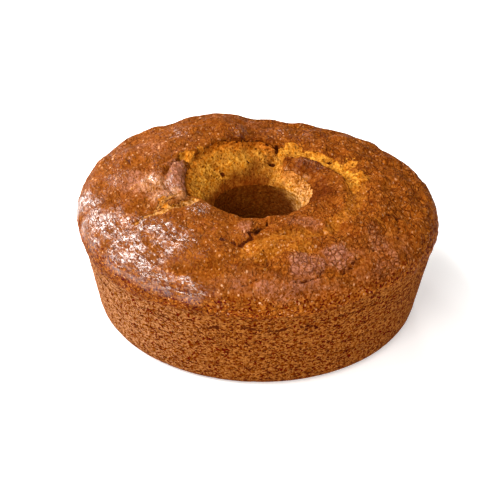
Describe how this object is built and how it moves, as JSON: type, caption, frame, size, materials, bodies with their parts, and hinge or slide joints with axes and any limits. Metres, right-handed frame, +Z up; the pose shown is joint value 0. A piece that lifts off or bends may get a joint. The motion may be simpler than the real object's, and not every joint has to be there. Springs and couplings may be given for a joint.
{
  "type": "yogurt cake",
  "caption": "Ring-shaped yogurt cake from a tube tin, with flared porous sides, a domed brown crust that is cracked and torn open around the central hole, and a flat base.",
  "frame": {"origin": "centre of the flat base, on the axis of the hole", "axes": "+Z up along the axis of the hole; -Y is the side that faces the picture's camera, +X is its right"},
  "size_m": [0.2395, 0.2407, 0.0921],
  "materials": {
    "baked_crust": "baked brown crust, glossy and wrinkled on part of the top, dull and porous on the sides"
  },
  "bodies": {
    "root": {"cake": "baked_crust"}
  },
  "joints": []
}
